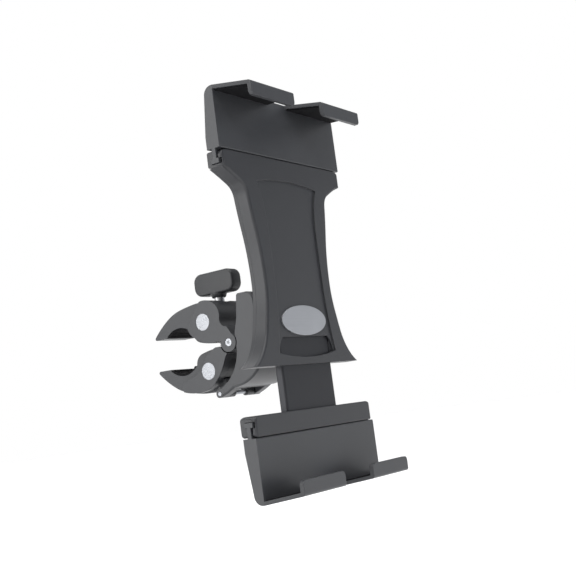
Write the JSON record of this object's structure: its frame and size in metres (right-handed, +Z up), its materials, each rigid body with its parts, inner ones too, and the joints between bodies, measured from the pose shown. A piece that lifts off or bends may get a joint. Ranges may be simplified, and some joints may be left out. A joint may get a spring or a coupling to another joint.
{
  "type": "clamp-on tablet holder",
  "caption": "Tablet holder with hooked jaws on a waisted body and a slide bar, held by a ball swivel on a hinged pipe clamp with a wing knob.",
  "frame": {"origin": "centre of the pipe that the claws grip, half way across the claws", "axes": "+X along the gripped pipe, +Z up towards the wing knob, the clamp's mouth opens to +Y and the tablet faces -Y"},
  "size_m": [0.116, 0.1253, 0.2218],
  "materials": {
    "badge_metal": "satin plate, left bare",
    "bar_metal": "brushed",
    "black_screw": "black oxide",
    "body_paint": "fine satin charcoal paint",
    "bright_steel": "polished",
    "cast_paint": "satin charcoal paint over cast metal",
    "knob_plastic": "moulded, fine grain",
    "liner_plastic": "natural",
    "pad_rubber": "matt",
    "steel": "brushed"
  },
  "bodies": {
    "clamp_base": {"clamp_heel": "cast_paint", "lower_claw": "cast_paint", "lower_claw_pad": "pad_rubber", "hinge_pin": "bright_steel", "lock_pin": "bright_steel", "socket_collar": "steel"},
    "lower_dowel_body": {"lower_dowel": "bright_steel"},
    "screw_body": {"clamp_screw": "steel", "end_clip": "steel", "wing_knob": "knob_plastic"},
    "upper_claw_body": {"upper_claw": "cast_paint", "upper_claw_pad": "pad_rubber"},
    "upper_dowel_body": {"upper_dowel": "bright_steel", "thrust_washer": "steel"},
    "liner_body": {"ball_liner": "liner_plastic"},
    "stud_body": {"ball_stud": "bright_steel"},
    "holder_body": {"swivel_base": "cast_paint", "swivel_screws": "black_screw", "swivel_washer": "liner_plastic", "body_shell": "body_paint", "back_cover": "body_paint", "blank_badge": "badge_metal", "cover_screws": "black_screw", "brake_screws": "black_screw", "upper_jaw": "cast_paint", "upper_jaw_pads": "pad_rubber", "upper_jaw_grub_screws": "black_screw"},
    "slide_body": {"slide_bar": "bar_metal", "stop_peg": "steel", "lower_rail": "cast_paint", "rail_screws": "steel", "lower_jaw": "cast_paint", "lower_jaw_pads": "pad_rubber", "lower_jaw_grub_screws": "black_screw"}
  },
  "joints": [
    {"name": "jaw_hinge", "type": "hinge", "parent": "clamp_base", "child": "upper_claw_body", "pos_m": [0, -0.041, 0], "axis": [1, 0, 0], "range_deg": [-7, 19]},
    {"name": "upper_dowel_turn", "type": "hinge", "parent": "upper_claw_body", "child": "upper_dowel_body", "pos_m": [0, -0.0237, 0.0144], "axis": [1, 0, 0], "range_deg": [-9.6, 3.6]},
    {"name": "knob_spin", "type": "hinge", "parent": "upper_dowel_body", "child": "screw_body", "pos_m": [0, -0.0237, 0], "axis": [0, 0, 1], "range_deg": [-730, 1980]},
    {"name": "lower_dowel_turn", "type": "hinge", "parent": "clamp_base", "child": "lower_dowel_body", "pos_m": [0, -0.0237, -0.0144], "axis": [1, 0, 0], "range_deg": [-3.6, 9.6]},
    {"name": "holder_tilt", "type": "hinge", "parent": "clamp_base", "child": "liner_body", "pos_m": [0, -0.0575, 0], "axis": [1, 0, 0], "range_deg": [-12, 12]},
    {"name": "holder_pan", "type": "hinge", "parent": "liner_body", "child": "stud_body", "pos_m": [0, -0.0575, 0], "axis": [0, 0, 1], "range_deg": [-12, 12]},
    {"name": "holder_turn", "type": "hinge", "parent": "stud_body", "child": "holder_body", "pos_m": [0, -0.0732, 0], "axis": [0, 1, 0], "continuous": true},
    {"name": "slide_extension", "type": "slide", "parent": "holder_body", "child": "slide_body", "axis": [0, 0, -1], "range_m": [-0.024, 0.04]}
  ],
  "couplings": [
    {"joint": "knob_spin", "follows": "jaw_hinge", "ratio": 104},
    {"joint": "upper_dowel_turn", "follows": "jaw_hinge", "ratio": -0.5},
    {"joint": "lower_dowel_turn", "follows": "jaw_hinge", "ratio": 0.5}
  ]
}
